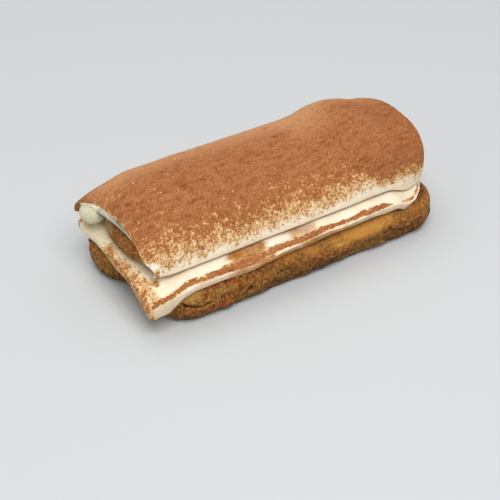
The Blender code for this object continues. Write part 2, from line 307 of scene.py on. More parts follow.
@dataclass(frozen=True)
class Swell:
    """A change of height that sets in along X, along Y or along both, in millimetres.

    Each ramp is an axis, the place where the change is nothing and the place where it is full.
    """

    height: float
    ramps: tuple

    def at(self, x, y):
        amount = self.height * MM
        for axis, nothing, full in self.ramps:
            amount *= smooth(nothing * MM, full * MM, x if axis == "X" else y)
        return amount


FRONT_EDGE = ("Y", -19.5, -26.3)
SLAB_TOP_SWELLS = (
    Swell(-1.1, (FRONT_EDGE,)),
    Swell(-1.2, (FRONT_EDGE, ("X", -38, -25), ("X", -9, -20))),
    Swell(-0.5, (FRONT_EDGE, ("X", -30, -38))),
    Swell(-3.2, (("X", 35, 44), ("Y", -13, -22))),
    Swell(-1.4, (("X", -56, -60),)),
    Swell(-2.3, (("X", -42, -54), ("Y", -12, -22))),
)
SLAB_THICKNESS_SWELLS = (
    Swell(-0.7, (FRONT_EDGE, ("X", -52, -40))),
    Swell(1.2, (FRONT_EDGE, ("X", 36, 44))),
    Swell(-0.7, (FRONT_EDGE, ("X", -23, -17), ("X", -1, -7))),
    Swell(-0.7, (FRONT_EDGE, ("X", 2, 9), ("X", 32, 25))),
    Swell(2.2, (("X", -47, -54), ("Y", -8, -25))),
)


@dataclass(frozen=True)
class Loaf:
    """A long body with rounded ends, an arched section and a flat foot."""

    start: float
    end: float
    middle: float
    half_width: float
    foot: float
    girth: float  # the height at which it is widest
    nose: float  # the length of each rounded end, seen from above
    crown: float = 0.0  # the rise of its top above the girth
    plan: float = 2.1  # the superellipse exponent of its ends, seen from above
    fall: float = 2.1  # the same, seen from the side
    arch: float = 2.3  # the same, of its section
    pinch: float = 0.0  # the share by which its waist is narrower

    @property
    def centre(self):
        return (self.start + self.end) / 2

    @property
    def straight(self):
        return (self.end - self.start) / 2 - self.nose

    def past(self, x):
        """How far x is into a rounded end: 0 where the end begins and 1 at its tip."""
        return min(1.0, max(0.0, abs(x - self.centre) - self.straight) / self.nose)

    def width_at(self, x):
        along = (x - self.centre) / (self.straight + self.nose)
        waist = 1 - self.pinch * cos(along * pi / 2) ** 2
        return self.half_width * waist * quarter_round(self.past(x), self.plan)

    def rise_at(self, x):
        return self.crown * quarter_round(self.past(x), self.fall)

    def arch_at(self, x):
        return self.arch

    def lean_at(self, x):
        return 0.0

    def top(self, x, y):
        """The height of its upper surface over a point, or that of its foot beside it."""
        reach = self.width_at(x)
        aside = abs(y - self.middle) / reach if reach > 0 else 1.0
        if aside >= 1:
            return self.foot
        return self.girth + self.rise_at(x) * quarter_round(aside, self.arch)

    def place(self, x, angle):
        """The point of its surface at x, with the angle going round the section from +Y up."""
        exponent = self.arch_at(x)
        aside, rise = cos(angle), sin(angle)
        size = (abs(aside) ** exponent + abs(rise) ** exponent) ** (1 / exponent)
        aside, rise = aside / size, rise / size
        y = self.middle + self.width_at(x) * aside
        if rise > 0:
            y += self.lean_at(x) * rise
            return Vector((x, y, self.girth + self.rise_at(x) * rise))
        depth = (self.girth - self.foot) * quarter_round(self.past(x), self.fall)
        return Vector((x, y, max(self.foot, self.girth + FOOT_CUT * depth * rise)))


@dataclass(frozen=True)
class Blanket(Loaf):
    """The draped cream, or the hollow under it: a loaf that follows the uneven crest."""

    slope: float = 27 * MM  # the length of the slope down to its end at +X
    cover: float = 0.0  # how far it lies under the crest

    def near_open_end(self, x):
        return smooth(-44 * MM, -60 * MM, x)

    def rise_at(self, x):
        crest = between(BLANKET_CREST, x / MM) * MM - self.cover - self.girth
        down = min(1.0, max(0.0, x - self.end + self.slope) / self.slope)
        return crest * quarter_round(down, self.fall)

    def width_at(self, x):
        return super().width_at(x) * (1 - END_TAPER * self.near_open_end(x))

    def arch_at(self, x):
        over_bump = smooth(10 * MM, 34 * MM, x)
        return self.arch + BUMP_SQUARENESS * over_bump - END_POINTEDNESS * self.near_open_end(x)

    def lean_at(self, x):
        over_bump = smooth(10 * MM, 40 * MM, x)
        return CROWN_LEAN * (1 - over_bump) + BUMP_LEAN * over_bump


FINGER_FORM = {
    "foot": 0,
    "girth": FINGER_GIRTH,
    "crown": FINGER_HEIGHT - FINGER_GIRTH,
    "plan": 2.2,
    "fall": 2.6,
    "arch": 2.9,
    "pinch": 0.04,
}
FINGER_FRONT = Loaf(
    start=-53 * MM,
    end=56 * MM,
    middle=-13.7 * MM,
    half_width=13.2 * MM,
    nose=13.5 * MM,
    **FINGER_FORM,
)
FINGER_BACK = Loaf(
    start=-60.6 * MM,
    end=50.5 * MM,
    middle=14.6 * MM,
    half_width=12.9 * MM,
    nose=13 * MM,
    **FINGER_FORM,
)
BROAD = Loaf(
    start=-57.8 * MM,
    end=49 * MM,
    middle=1.4 * MM,
    half_width=19.5 * MM,
    foot=SLAB_TOP + CLEARANCE,
    girth=SLAB_TOP + 3 * MM,
    crown=9.5 * MM,
    nose=18 * MM,
    plan=2.4,
    fall=2.4,
)
BLANKET = Blanket(
    start=-80 * MM,
    end=57.6 * MM,
    middle=1.8 * MM,
    half_width=22.8 * MM,
    foot=SLAB_TOP,
    girth=SLAB_TOP + 1.3 * MM,
    nose=17.2 * MM,
    plan=2.8,
    fall=5,
)
HOLLOW = Blanket(
    start=-80 * MM,
    end=-44 * MM,
    middle=1.8 * MM,
    half_width=21.4 * MM,
    foot=10 * MM,
    girth=SLAB_TOP + 1 * MM,
    nose=9 * MM,
    slope=9 * MM,
    cover=COVER_THICKNESS,
)

# The design's coordinates become the solids' by this move, read off the upper biscuit's corner.
BROAD_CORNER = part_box("biscuit_upper")[0]
SHIFT = Vector(
    (BROAD_CORNER.x - BROAD.start, BROAD_CORNER.y - BROAD.middle + BROAD.half_width, 0)
)


def slab_top(x, y):
    """The height of the slab's upper side, which sinks at its edges and at its right end."""
    return SLAB_TOP + sum(swell.at(x, y) for swell in SLAB_TOP_SWELLS)


def slab_foot(x, y):
    """The slab's underside, which lies on the two finger biscuits and hangs free beside them."""
    thickness = SLAB_THICKNESS + sum(swell.at(x, y) for swell in SLAB_THICKNESS_SWELLS)
    thickness += VALLEY_DEPTH * smooth(VALLEY_REACH, VALLEY_REACH / 4, abs(y))
    bed = max(FINGER_FRONT.top(x, y), FINGER_BACK.top(x, y)) + CLEARANCE
    return max(slab_top(x, y) - thickness, bed)


def slab_edge_wave(x):
    """How far the slab's edge waves along Y."""
    return 0.35 * MM * sin(x / (9 * MM)) + 0.25 * MM * sin(x / (4.3 * MM) + 1)


def slab_plan(across, deep):
    """The slab's X and Y for a place from -1 to 1 along and across it."""
    squareness = FAR_END_SQUARENESS if across > 0 else CUT_END_SQUARENESS
    size = max(abs(across), abs(deep))
    if size > 0:
        norm = (abs(across) ** squareness + abs(deep) ** squareness) ** (1 / squareness)
        across, deep = across * size / norm, deep * size / norm
    x = (SLAB_LEFT + SLAB_RIGHT) / 2 + (SLAB_RIGHT - SLAB_LEFT) / 2 * across
    y = (SLAB_FRONT + SLAB_BACK) / 2 + (SLAB_BACK - SLAB_FRONT) / 2 * deep
    x -= BACK_CORNER_PULL * smooth(0.8, 1, -across) * smooth(12 * MM, 22 * MM, y)
    return x, y + slab_edge_wave(x) * smooth(0.6, 1, abs(deep))


def slab_front_edge(x):
    """The Y of the slab's front edge before its waves, for a place along it."""
    along = (2 * x - SLAB_LEFT - SLAB_RIGHT) / (SLAB_RIGHT - SLAB_LEFT)
    deep = quarter_round(min(1, max(0, along)), FAR_END_SQUARENESS)
    return (SLAB_FRONT + SLAB_BACK) / 2 + (SLAB_FRONT - SLAB_BACK) / 2 * deep


def open_end_shift(x, y, z):
    """How far the cream near the open end is drawn along X from a square cut."""
    tip = -TIP_REACH * smooth(3 * MM, 21 * MM, y)
    tip *= TIP_FOOT_SHARE + (1 - TIP_FOOT_SHARE) * smooth(18.5 * MM, 21.5 * MM, z)
    lip = LIP_RETREAT * smooth(-16 * MM, -21 * MM, y)
    return (tip + lip) * smooth(-46 * MM, OPEN_END, x)


def lip_lift(x, y):
    """How far the blanket's lip is lifted off the ledge where it waves."""
    wave = band((20 * MM, 29 * MM), (39 * MM, 32 * MM), x)
    return LIP_WAVE * wave * smooth(-10 * MM, -21 * MM, y)


def lip_sag(x, y, z):
    """How far the blanket sinks with the slab toward its right end, most at the lip."""
    sunk = (SLAB_TOP - slab_top(x, y)) * smooth(30 * MM, 38 * MM, x)
    return LIP_SAG * sunk * smooth(28 * MM, BLANKET.girth, z)


# How far apart two seeds' patterns lie along X, Y and Z, for noise and for pores.
NOISE_STEPS = (7.3, -3.1, 5.7)
PORE_STEPS = (11.1, 2.3, 6.1)
# A pore runs from its rim to its floor, as distances in cells, and some cells hold none.
PORE_RIM = 0.42
PORE_FLOOR = 0.12
PORELESS_SHARE = 0.4


def rough(point, size, stretch=(1, 1, 1), seed=0):
    """Noise from -1 to 1 whose lumps have about that size in millimetres, times the stretch."""
    place = [
        point[axis] / (size * MM * stretch[axis]) + seed * NOISE_STEPS[axis] for axis in range(3)
    ]
    return noise.noise(Vector(place))


def pores(point, size, seed=0):
    """How far a point is inside a round pore, from 0 outside to 1 at its middle."""
    offset = Vector([seed * step for step in PORE_STEPS])
    distances, centres = noise.voronoi(point / (size * MM) + offset)
    chosen = noise.cell(centres[0] * 3.7) > PORELESS_SHARE
    return smooth(PORE_RIM, PORE_FLOOR, distances[0]) if chosen else 0.0


# The main relief of the lower biscuits, with its sizes as in the solids.
CRUST_LUMP = 9 * MM
CRUST_BUMP = 4 * MM
CRUST_SEAM = 6 * MM
CRUST_HEIGHT = 0.6 * MM
CRUST_CRACK = 0.7 * MM
CRUST_BUMP_PLACE = Vector((7, 3, 1))


def finger_crust(point):
    """The lower biscuits' main relief, as in the solids: soft bumps cut by cracks along X."""
    coarse = noise.noise(point / CRUST_LUMP)
    fine = noise.noise(point / CRUST_BUMP + CRUST_BUMP_PLACE)
    seam = abs(noise.noise(Vector((point.x / 2, point.y, point.z)) / CRUST_SEAM))
    return CRUST_HEIGHT * (coarse + fine) - CRUST_CRACK * (1 - smooth(0, 0.2, seam))


def side_marks(point):
    """How deep a point of the front biscuit's side lies in its fissure or its hole."""
    x, z = point.x / MM, point.z / MM
    first, last = FISSURE[0][0], FISSURE[-1][0]
    aside = abs(z - between(FISSURE, x) + 0.6 * rough(point, 1.6)) / FISSURE_WIDTH
    fissure = smooth(1.6, 0.6, aside) * band((first, first + 2), (last, last - 2), x)
    return max(fissure, smooth(1.1, 0.7, distance(x, z, HOLE) / HOLE_RADIUS))


def even_angle(angle, upper_share):
    """Turns an angle so that the upper half of the section gets that share of the points."""
    aside = (angle - pi / 2 + pi) % (2 * pi) - pi
    edge = pi * upper_share
    if abs(aside) <= edge:
        return pi / 2 + aside / edge * pi / 2
    return pi / 2 + copysign(pi / 2 + (abs(aside) - edge) / (pi - edge) * pi / 2, aside)


def loaf_shape(loaf, around, along, upper_share=0.5):
    """The loaf as a bmesh: a sphere with its poles at the tips, drawn out to the loaf's form."""
    shape = bmesh.new()
    poles_on_x = Matrix.Rotation(radians(90), 4, "Y")
    bmesh.ops.create_uvsphere(
        shape, u_segments=around, v_segments=along, radius=1, matrix=poles_on_x
    )
    arc = loaf.nose * pi / 2
    for vert in shape.verts:
        unit = vert.co.normalized()
        run = (1 - acos(max(-1, min(1, unit.x))) / (pi / 2)) * (loaf.straight + arc)
        turn = max(0.0, abs(run) - loaf.straight) / loaf.nose
        reach = min(abs(run), loaf.straight) + loaf.nose * sin(turn)
        x = loaf.centre + copysign(reach, run)
        vert.co = loaf.place(x, even_angle(atan2(unit.z, unit.y), upper_share))
    return shape


def push_out(shape, relief):
    """Moves each point along its normal by what relief(vert) gives."""
    shape.normal_update()
    moves = [(vert, vert.normal * relief(vert)) for vert in shape.verts]
    for vert, move in moves:
        vert.co += move


def object_from(shape, name):
    """Makes an object of the bmesh, which it uses up, and links it to the scene."""
    mesh = bpy.data.meshes.new(name)
    shape.to_mesh(mesh)
    shape.free()
    thing = bpy.data.objects.new(name, mesh)
    bpy.context.scene.collection.objects.link(thing)
    return thing


def settle(shape, name, finish, replaced=()):
    """Makes the finished piece from the bmesh, in the solids' place, riding on the portion."""
    bmesh.ops.translate(shape, verts=shape.verts, vec=SHIFT)
    piece = object_from(shape, name)
    piece.data.shade_smooth()
    piece.data.materials.append(finish)
    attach(piece, "root")
    if replaced:
        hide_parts(*replaced)


class Value:
    """A number that varies over a surface. Arithmetic on it adds Math nodes."""

    def __init__(self, finish, socket):
        self.finish = finish
        self.socket = socket

    def math(self, operation, *values):
        return self.finish.node("ShaderNodeMath", {"operation": operation}, dict(enumerate(values)))

    def __add__(self, other):
        return self.math("ADD", self, other)

    __radd__ = __add__

    def __sub__(self, other):
        return self.math("SUBTRACT", self, other)

    def __rsub__(self, other):
        return self.math("SUBTRACT", other, self)

    def __mul__(self, other):
        return self.math("MULTIPLY", self, other)

    __rmul__ = __mul__

    def __abs__(self):
        return self.math("ABSOLUTE", self)

    def limited(self):
        return self.math("MAXIMUM", self.math("MINIMUM", self, 1), 0)


# How far apart two seeds' patterns lie in a material, along X, Y and Z.
PATTERN_STEPS = (7.7, 3.3, 5.1)
# Light goes this far into cream, and red, green and blue go these shares of the way.
SCATTER_REACH = 1.5 * MM
SCATTER_SHARES = (1, 0.7, 0.45)
SHINE = 0.15


class Finish:
    """A material whose nodes read the design's coordinates in millimetres."""

    def __init__(self, name, roughness, scatter=0.0):
        self.material = bpy.data.materials.new(name)
        self.material.use_nodes = True
        self.tree = self.material.node_tree
        self.surface = self.tree.nodes["Principled BSDF"]
        self.surface.inputs["Roughness"].default_value = roughness
        self.surface.inputs["Subsurface Weight"].default_value = scatter
        self.surface.inputs["Subsurface Radius"].default_value = SCATTER_SHARES
        self.surface.inputs["Subsurface Scale"].default_value = SCATTER_REACH
        self.surface.inputs["Specular IOR Level"].default_value = SHINE
        coordinates = self.node("ShaderNodeTexCoord", output="Object")
        self.point = self.node(
            "ShaderNodeMapping",
            inputs={"Vector": coordinates, "Scale": (1 / MM,) * 3, "Location": -SHIFT / MM},
        )
        place = self.node("ShaderNodeSeparateXYZ", inputs={0: self.point}).socket.node
        self.x, self.y, self.z = (Value(self, output) for output in place.outputs)

    def node(self, kind, settings=None, inputs=None, output=0):
        """Adds a node with those settings and input values or links, and gives an output."""
        node = self.tree.nodes.new(kind)
        for name, setting in (settings or {}).items():
            setattr(node, name, setting)
        for name, value in (inputs or {}).items():
            if isinstance(value, Value):
                self.tree.links.new(value.socket, node.inputs[name])
            else:
                node.inputs[name].default_value = value
        return Value(self, node.outputs[output])

    def feed(self, socket, value):
        self.tree.links.new(value.socket, self.surface.inputs[socket])

    def attribute(self, name):
        return self.node("ShaderNodeAttribute", {"attribute_name": name}, output="Fac")

    def scaled(self, size, stretch, seed):
        """The place in a pattern whose unit is that size in millimetres, times the stretch."""
        return self.node(
            "ShaderNodeMapping",
            inputs={
                "Vector": self.point,
                "Scale": tuple(1 / (size * axis) for axis in stretch),
                "Location": tuple(seed * step for step in PATTERN_STEPS),
            },
        )

    def noise(self, size, detail=2, stretch=(1, 1, 1), seed=0, crispness=0.5):
        """Noise from about 0 to 1 whose lumps have that size in millimetres, times the stretch."""
        inputs = {
            "Vector": self.scaled(size, stretch, seed),
            "Scale": 1,
            "Detail": detail,
            "Roughness": crispness,
        }
        return self.node("ShaderNodeTexNoise", inputs=inputs)

    def cells(self, size, seed):
        """The distance from the middle of the nearest cell, where the cells have that size."""
        inputs = {"Vector": self.scaled(size, (1, 1, 1), seed), "Scale": 1}
        return self.node("ShaderNodeTexVoronoi", inputs=inputs)

    def step(self, value, low, high):
        """Goes smoothly from 0 at low to 1 at high."""
        if low > high:
            return 1 - self.step(value, high, low)
        return self.node(
            "ShaderNodeMapRange",
            {"interpolation_type": "SMOOTHSTEP"},
            {0: value, 1: low, 2: high},
        )

    def near(self, value, middle, gone, full):
        """1 within the full distance of the middle, and 0 where the distance is gone or more."""
        return self.step(abs(value - middle), gone, full)

    def mix(self, share, first, second):
        """The first colour where the share is 0 and the second where it is 1."""
        colours = [
            value if isinstance(value, Value) else (*value, 1)[:4] for value in (first, second)
        ]
        return self.node(
            "ShaderNodeMix",
            {"data_type": "RGBA"},
            {0: share, 6: colours[0], 7: colours[1]},
            output=2,
        )

    def over(self, body, *layers):
        """The body's colour with each layer laid over it in turn, as (share, colour)."""
        for share, colour in layers:
            body = self.mix(share, body, colour)
        return body

    def bump(self, height, millimetres, strength=1.0):
        inputs = {"Height": height, "Distance": millimetres * MM, "Strength": strength}
        return self.node("ShaderNodeBump", inputs=inputs)


# Where the crust changes, in millimetres. A pair is a ramp from nothing to full, and a trio is
# a middle with the distances at which the change is gone and is full.
RED_END_X = (34, 42)
OLIVE_END_X = (-20, -40)
SHADED_END_X = (42, 8, 4)
SHADED_MIDDLE_X = (5, 11, 4)
SHADED_MIDDLE_Z = (11, 8)
SHADED_SIDE_X = (-26, -14)
SHADED_SIDE_Z = (9, 4)
GREY_RIM_Z = (5.4, 1.2)
PALE_FOOT_X = (23, 12, 8)
PALE_FOOT_Z = (2, 1.1, 0.4)
DULL_SPECKS_Z = (7, 4)
# Heights of painted shade on the crust: under the slab's overhang and along its foot.
SHADE_UNDER_SLAB_Z = (11.4, 12.8)
FOOT_SHADE_Z = (1.6, 0.4)


def crust_shadow(finish, mottle, tint):
    """Where the crust is darker: low on its left side, at its middle and near its right end."""
    wandering_x = finish.x + (tint - 0.5) * 30
    side = finish.step(finish.z + (mottle - 0.5) * 8, *SHADED_SIDE_Z)
    side = side * finish.step(finish.x, *SHADED_SIDE_X)
    middle = finish.near(wandering_x, *SHADED_MIDDLE_X) * finish.step(finish.z, *SHADED_MIDDLE_Z)
    right = finish.near(wandering_x, *SHADED_END_X)
    return (side * 0.55 + middle * 0.4 + right * 0.25).limited()


def pale_foot(finish, mottle, tint):
    """Where pale crumbs show along the crust's foot."""
    level = finish.near(finish.z + (mottle - 0.5) * 6, *PALE_FOOT_Z)
    return level * finish.near(finish.x + (tint - 0.5) * 20, *PALE_FOOT_X)


def crust_finish(look):
    """Baked crust: mottled gold, brown and olive, finely speckled, with a grey, crumbly rim.

    The rim's grey is partly painted shade; painted shade also darkens the cracks and pores,
    the top under the slab and the foot.
    """
    finish = Finish("baked crust", roughness=0.72)
    golden = finish.attribute("golden")
    mottle = finish.noise(7, detail=3, stretch=(1.6, 1, 1))
    tint = finish.noise(5, detail=2, stretch=(1.8, 1, 1), seed=18)
    speckle = finish.noise(1.1, detail=3, crispness=0.7, seed=1)
    fine = finish.noise(0.5, detail=2, crispness=0.6, seed=2)
    red_end = finish.step(finish.x, *RED_END_X)
    toasted = finish.step(finish.noise(3.4, detail=3, stretch=(2, 1, 1), seed=22), 0.52, 0.62)
    olive = finish.step(finish.x, *OLIVE_END_X) * golden
    # low lays the rim colour toward the foot, partly as painted shade.
    low = finish.step(finish.z + (mottle - 0.5) * 9, *GREY_RIM_Z)
    lightness = ((speckle - 0.5) * 4 + (fine - 0.5) * 3) * (1 - 0.5 * golden)
    # under is painted shade: darker under the slab's overhang and along the foot.
    under = finish.step(finish.z, *SHADE_UNDER_SLAB_Z) + finish.step(finish.z, *FOOT_SHADE_Z)
    body = finish.over(
        look.brown,
        (finish.step(mottle + red_end * 0.08, 0.46, 0.6) * 0.9, REDDISH_CRUST),
        (finish.step(tint, 0.5, 0.62) * 0.7, OLIVE_CRUST),
        (finish.step(tint, 0.44, 0.34) * 0.7, BURNT_CRUST),
        (golden * 0.85, finish.mix(toasted * 0.6, look.golden, TOASTED_CRUST)),
        (olive * 0.7, OLIVE_GOLD),
        (low * 0.8, look.rim),
        (crust_shadow(finish, mottle, tint), SHADED_CRUST),
        (pale_foot(finish, mottle, tint) * 0.5, PALE_CRUMB),
        (lightness.limited() * (0.7 - 0.3 * finish.step(finish.z, *DULL_SPECKS_Z)), PALE_SPECK),
        ((0 - lightness).limited() * 0.6, look.dark_and_crack_shade),
        # Painted shade: cracks and pores darken by their hollow depth, and the crust darkens under
        # the slab and at the foot.
        ((finish.attribute("hollow") + under * 0.45).limited(), look.dark_and_crack_shade),
    )
    finish.feed("Base Color", body)
    finish.feed("Roughness", 0.82 - 0.25 * golden)
    finish.feed("Normal", finish.bump(speckle + 0.6 * fine, 0.25, strength=0.5))
    return finish.material


def soaked_finish(look):
    """Crumb full of coffee: brown, damp and porous.

    Where it meets the fold it is painted the tan of coffee-stained cream as it looks in shade.
    """
    finish = Finish("soaked crumb", roughness=0.75)
    mottle = finish.noise(3, detail=3, seed=4)
    grain = finish.noise(0.8, detail=4, crispness=0.7, seed=5)
    body = finish.over(
        look.soaked,
        (finish.step(mottle, 0.42, 0.6), SOAKED_MOTTLE),
        # Painted shade: toward the fold the crumb takes the tan of coffee-stained cream in shade.
        (finish.step(finish.y + (mottle - 0.5) * 12, *SHADED_CREAM_Y) * 0.7, SHADED_CREAM_ON_CRUMB),
        (((grain - 0.5) * 8).limited() * 0.6, SOAKED_SPECK),
        (((0.5 - grain) * 8).limited() * 0.6, look.soaked_dark_and_pore_shade),
        # Painted shade: pores and low places darken by their hollow depth.
        (finish.attribute("hollow") * 0.7, look.soaked_dark_and_pore_shade),
    )
    finish.feed("Base Color", body)
    finish.feed("Normal", finish.bump(grain, 0.3, strength=0.7))
    return finish.material


# Where the cream and its cocoa change, in millimetres, in the same two ways.
# Where the crumb takes that painted tan of shaded cream, along Y.
SHADED_CREAM_Y = (3.5, 7.5)
CUT_END_X = (-51, -57)
LIP_SHADE_Z = (21.2, 19.4)
DOTTED_FOLD_X = (-59.5, -60.5)
BARE_DOTS_X = (-12, -24)
# Where the cocoa's painted shade sets in toward the right end.
COCOA_SHADE_END_X = (34, 50)
# Places of the cocoa's painted highlight.
SHEEN_BACK_Y = (6, 19)
SHEEN_BACK_Z = (28, 33)
SHEEN_SLOPE_X = (20, 13, 4)
SHEEN_SLOPE_Y = (-4, 8)
SHEEN_SLOPE_Z = (32, 36)


def powder_colour(finish, cocoa, cover, grain):
    """Cocoa that lies closed: grained and streaked, and redder where it is thin.

    A painted highlight makes it paler at the back edge and high on one slope of the crest.
    """
    drift = finish.noise(16, detail=3, stretch=(1.4, 1, 1), seed=9)
    streak = finish.noise(1.6, detail=3, stretch=(2.4, 1, 0.8), crispness=0.7, seed=10)
    # damp is painted shade: the cocoa darkens toward the right end.
    damp = 0.2 * finish.step(finish.x, *COCOA_SHADE_END_X)
    tone = (drift - 0.5) * 0.7 + (grain - 0.5) * 5.4 + (streak - 0.5) * 3.2 + damp + 0.45
    # dry is a painted highlight: paler cocoa at the back edge and high on one slope, where light
    # grazes the powder.
    back = finish.step(finish.y, *SHEEN_BACK_Y) * finish.step(finish.z, *SHEEN_BACK_Z)
    slope = finish.near(finish.x, *SHEEN_SLOPE_X) * finish.step(finish.y, *SHEEN_SLOPE_Y)
    dry = (back + 0.5 * slope * finish.step(finish.z, *SHEEN_SLOPE_Z)).limited()
    return finish.over(
        cocoa.light,
        (tone.limited(), cocoa.deep),
        (dry * 0.6, SHEEN_COCOA),
        (finish.step(cover, 1.0, 0.2) * 0.65, WET_COCOA),
        (finish.step(streak, 0.59, 0.7) * 0.65, COCOA_STREAK),
    )


def dusted(finish, cocoa, cover, cream_colour, cream_height):
    """Lays cocoa on the cream by its cover, broken up into specks.

    The cover is 0 where cocoa hides half of the cream, and it goes on rising where the cocoa
    lies thicker. Small dots stay bare in the closed powder of the side with the open end.
    """
    clump = finish.noise(2.4, detail=2, seed=6)
    speck = finish.noise(0.8, detail=3, stretch=(1, 1, 1.1), crispness=0.65, seed=7)
    grain = finish.noise(0.6, detail=3, crispness=0.75, seed=8)
    dots = finish.step(finish.cells(4, seed=19), 0.12, 0.06) * finish.step(finish.x, *BARE_DOTS_X)
    amount = cover + (clump - 0.5) * 2 + (speck - 0.5) * 3.8
    mask = (amount * 0.95 + 0.5).limited() * (1 - 0.6 * dots)
    body = finish.over(
        cream_colour,
        (finish.step(cover, -0.8, 0) * 0.75, TINGED_CREAM),
        ((mask * 2).limited(), cocoa.thin),
        (dots * finish.step(cover, 0.7, 1), BARE_DOT),
        ((mask * 2 - 1).limited(), powder_colour(finish, cocoa, cover, grain)),
    )
    finish.feed("Base Color", body)
    finish.feed("Roughness", 0.5 + 0.45 * mask)
    height = cream_height + mask * (0.5 + 1.2 * (grain - 0.5) + 0.6 * (clump - 0.5))
    finish.feed("Normal", finish.bump(height, 0.35))
    return finish.material


def slab_finish(cream, cocoa):
    """Cream with the cocoa stripe, the dusted cut end and the coffee stains of the ledge."""
    finish = Finish("slab cream", roughness=0.5, scatter=0.3)
    cloud = finish.noise(7, detail=3, seed=11)
    smear = finish.noise(1.0, detail=3, stretch=(9, 1, 1), seed=12)
    blotch = finish.noise(2.2, detail=3, crispness=0.6, seed=20)
    pit = finish.noise(0.7, detail=2, seed=13)
    # The stain holds the ledge's coffee and the front face's tan, which is partly painted shade.
    soaked = finish.attribute("stain") * (1.0 + 0.9 * (cloud - 0.5) + 0.8 * (smear - 0.5))
    body = finish.over(
        cream.ivory,
        (finish.step(cloud, 0.4, 0.75) * 0.5 + 0.25, cream.shade),
        (finish.step(finish.x, *CUT_END_X) * 0.5, CUT_END_CREAM),
        (soaked.limited(), finish.mix(finish.step(blotch, 0.4, 0.62), cream.stain, STAIN_BLOTCH)),
    )
    return dusted(finish, cocoa, finish.attribute("cover"), body, smear * 0.25 + pit * 0.2)


def blanket_finish(cream, cocoa):
    """Cream under cocoa powder, bare at the lip, in the fold and on its inner side.

    The lip and the fold are darkened as painted shade.
    """
    finish = Finish("dusted cream", roughness=0.5, scatter=0.25)
    cloud = finish.noise(6, detail=3, seed=14)
    pit = finish.noise(0.6, detail=2, seed=15)
    from_fold = finish.node(
        "ShaderNodeMapping",
        inputs={
            "Vector": finish.point,
            "Scale": [MM / radius for radius in FOLD_RADII],
            "Location": [-FOLD_CENTRE[axis] / FOLD_RADII[axis] for axis in range(3)],
        },
    )
    away = finish.node(
        "ShaderNodeVectorMath", {"operation": "LENGTH"}, {0: from_fold}, output="Value"
    )
    fold = finish.step(away, 1.06, 1.02)
    dots = finish.step(finish.noise(0.5, detail=2, seed=21), 0.53, 0.6)
    dots = dots * fold * finish.step(finish.x, *DOTTED_FOLD_X)
    body = finish.over(
        cream.ivory,
        (finish.step(cloud, 0.4, 0.8) * 0.5, cream.shade),
        # Painted shade on the lip, which faces down toward the ledge.
        (finish.step(finish.z, *LIP_SHADE_Z) * 0.4, SHADED_LIP_CREAM),
        (finish.attribute("inner"), INNER_CREAM),
        # The fold is cream painted greyish green, as it looks in shade at the open end.
        (fold * 0.85, SHADED_FOLD_CREAM),
        (dots * 0.3, FOLD_DOT),
    )
    return dusted(finish, cocoa, finish.attribute("cover") - 4 * fold, body, pit * 0.3)


def clump_finish(cocoa):
    """Loose lumps of cocoa, between the thin powder's colour and the light one's."""
    finish = Finish("cocoa clumps", roughness=0.95)
    tone = finish.noise(0.9, detail=2, seed=16)
    finish.feed("Base Color", finish.mix(finish.step(tone, 0.35, 0.65), cocoa.thin, cocoa.light))
    finish.feed("Normal", finish.bump(finish.noise(0.2, seed=17), 0.06))
    return finish.material


def finger_shape(loaf, look, seed):
    """A finger biscuit's crust with its crags, cracks and pores, and where they lie."""
    shape = loaf_shape(loaf, around=208, along=420)
    golden = shape.verts.layers.float.new("golden")
    hollow = shape.verts.layers.float.new("hollow")
    is_front = loaf is FINGER_FRONT

    def relief(vert):
        point = vert.co
        height = point.z / MM
        bare = smooth(0.2, 2, height) * smooth(1, 0.9, loaf.past(point.x))
        under_cream = smooth(12.5, 10, height)
        patch = rough(point, 12, (1.6, 1, 1), seed) + 0.5 * rough(point, 4, (1.5, 1, 1), seed)
        place = between(GOLDEN_PLACES, point.x / MM * (1 if is_front else -1))
        sheen = patch * 0.8 + place + 0.1 * (height - 10.5)
        smoothness = smooth(0.15, 0.85, sheen) * smooth(5.5, 9.5, height) * smooth(0, 0.3, place)
        ragged = 1 - 0.82 * smoothness
        coarse = rough(point, 2.6, (1.5, 1, 1), seed)
        middle = rough(point, 1.3, (1.2, 1, 1), seed)
        fine = rough(point, 0.7, seed=seed)
        crag = look.crag * ragged * (0.7 * coarse + 0.5 * middle + 0.4 * fine)
        seam = abs(rough(point, 7, (3.2, 1, 1), seed + 5) + 0.25 * rough(point, 1.8, seed=seed))
        where = smooth(0.1, 0.4, rough(point, 15, (1.4, 1, 1), seed + 8))
        crack = (1 - smooth(0.0, 0.05, seam)) * where * smooth(2, 4, height)
        if is_front and point.y < loaf.middle:
            crack = max(crack, side_marks(point))
        pore = pores(point, 2.4, seed) * ragged
        # sunk darkens the low places between lumps, and hollow darkens cracks, pores and those places
        # by their depth, as painted shade.
        sunk = 0.15 * smooth(0.05, -0.5, coarse + middle) * ragged
        vert[golden] = smoothness
        vert[hollow] = min(1.0, 0.85 * crack + 0.55 * pore + sunk)
        crag -= look.crack * crack + look.pore * pore
        return crag * bare + finger_crust(point) * bare * under_cream

    push_out(shape, relief)
    for vert in shape.verts:
        vert.co.z = max(0, vert.co.z)
    return shape


